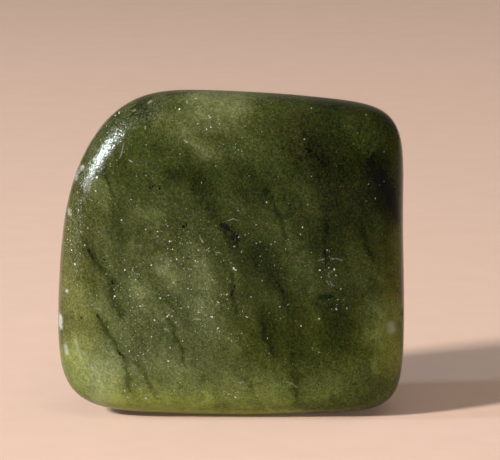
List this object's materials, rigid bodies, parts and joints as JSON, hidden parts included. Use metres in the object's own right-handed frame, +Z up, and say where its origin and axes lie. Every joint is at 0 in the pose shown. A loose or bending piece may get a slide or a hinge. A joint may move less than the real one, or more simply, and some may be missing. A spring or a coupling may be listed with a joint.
{
  "type": "tumbled nephrite stone",
  "caption": "Small polished slab of dark green nephrite jade with rounded edges and one worn corner, standing upright on a small flat spot of its lower edge.",
  "frame": {"origin": "under the middle of the stone's box, on the surface that it stands on", "axes": "+X to the stone's right seen from its broad front face, +Y away from that face, +Z up"},
  "size_m": [0.025, 0.01, 0.0234],
  "materials": {
    "nephrite": "gloss"
  },
  "bodies": {
    "root": {"stone": "nephrite"}
  },
  "joints": []
}
